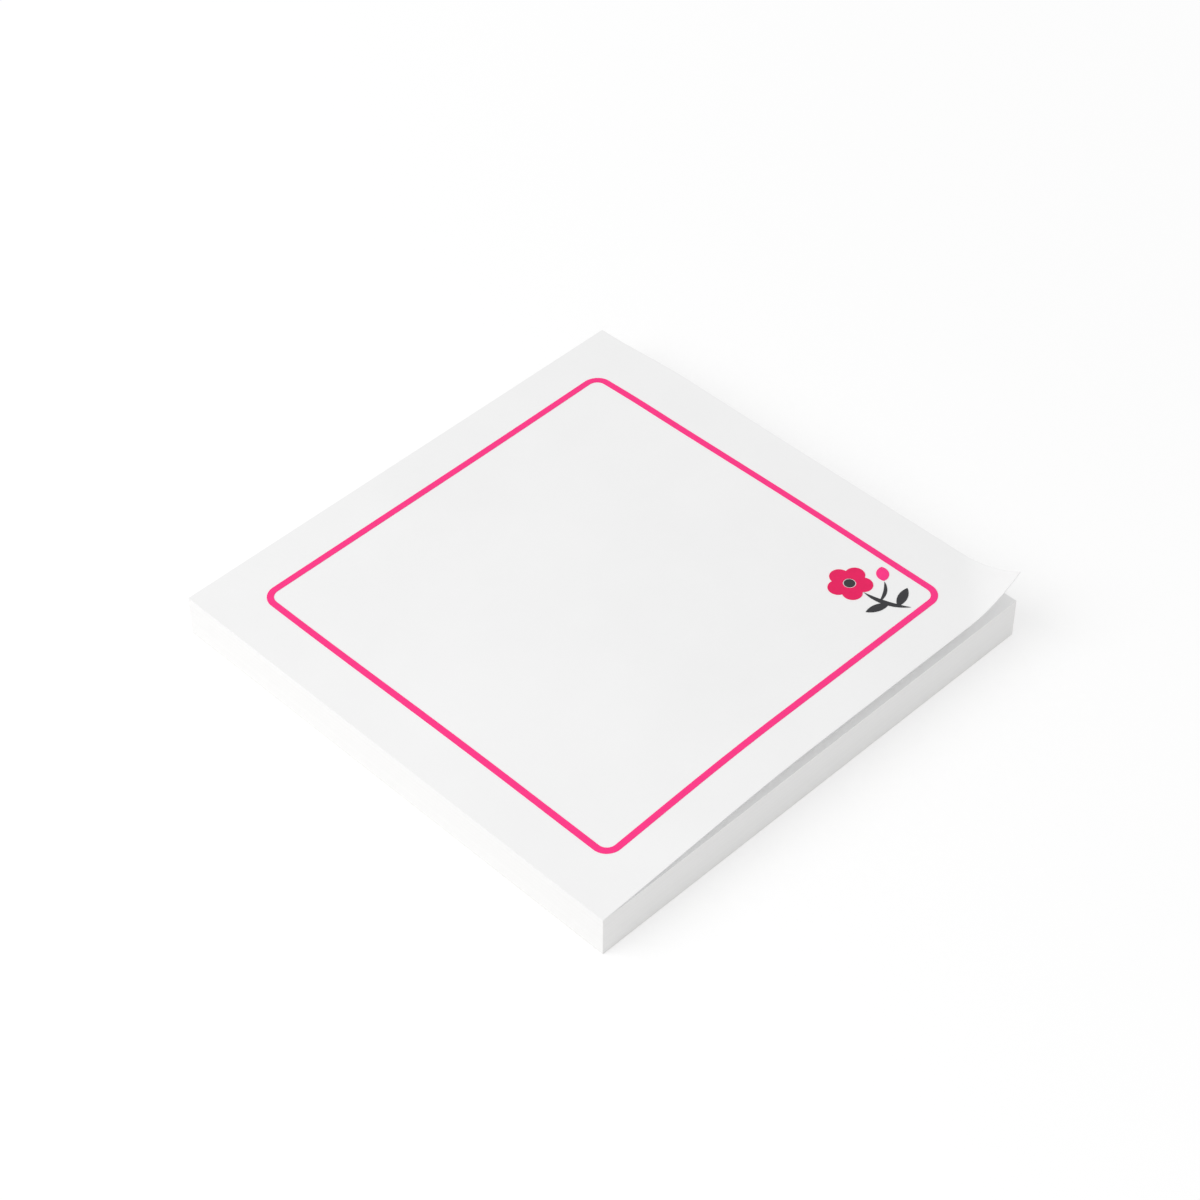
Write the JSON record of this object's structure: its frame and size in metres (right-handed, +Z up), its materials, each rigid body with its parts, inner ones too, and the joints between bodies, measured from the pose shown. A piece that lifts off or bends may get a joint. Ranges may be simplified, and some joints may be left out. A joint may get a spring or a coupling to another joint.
{
  "type": "sticky note pad",
  "caption": "Square pad of sticky notes: a flush block on a backing sheet, with a printed top note whose free corner has lifted and curled.",
  "frame": {"origin": "middle of the underside of the pad", "axes": "+X across a note to its right edge, +Y up a note to the glued edge, +Z up out of the stack"},
  "size_m": [0.0762, 0.0762, 0.0115],
  "materials": {
    "note_paper": "matte",
    "top_note_paper": "matte",
    "backing_paper": "matte",
    "adhesive": "satin",
    "pink_ink": "matte",
    "crimson_ink": "matte",
    "charcoal_ink": "matte"
  },
  "bodies": {
    "root": {"note_block": "note_paper", "backing_sheet": "backing_paper", "adhesive_strip": "adhesive", "top_note": "top_note_paper", "printed_border": "pink_ink", "printed_blossom": "crimson_ink", "printed_eye": "charcoal_ink", "printed_sprig": "charcoal_ink", "printed_bud": "pink_ink"}
  },
  "joints": []
}
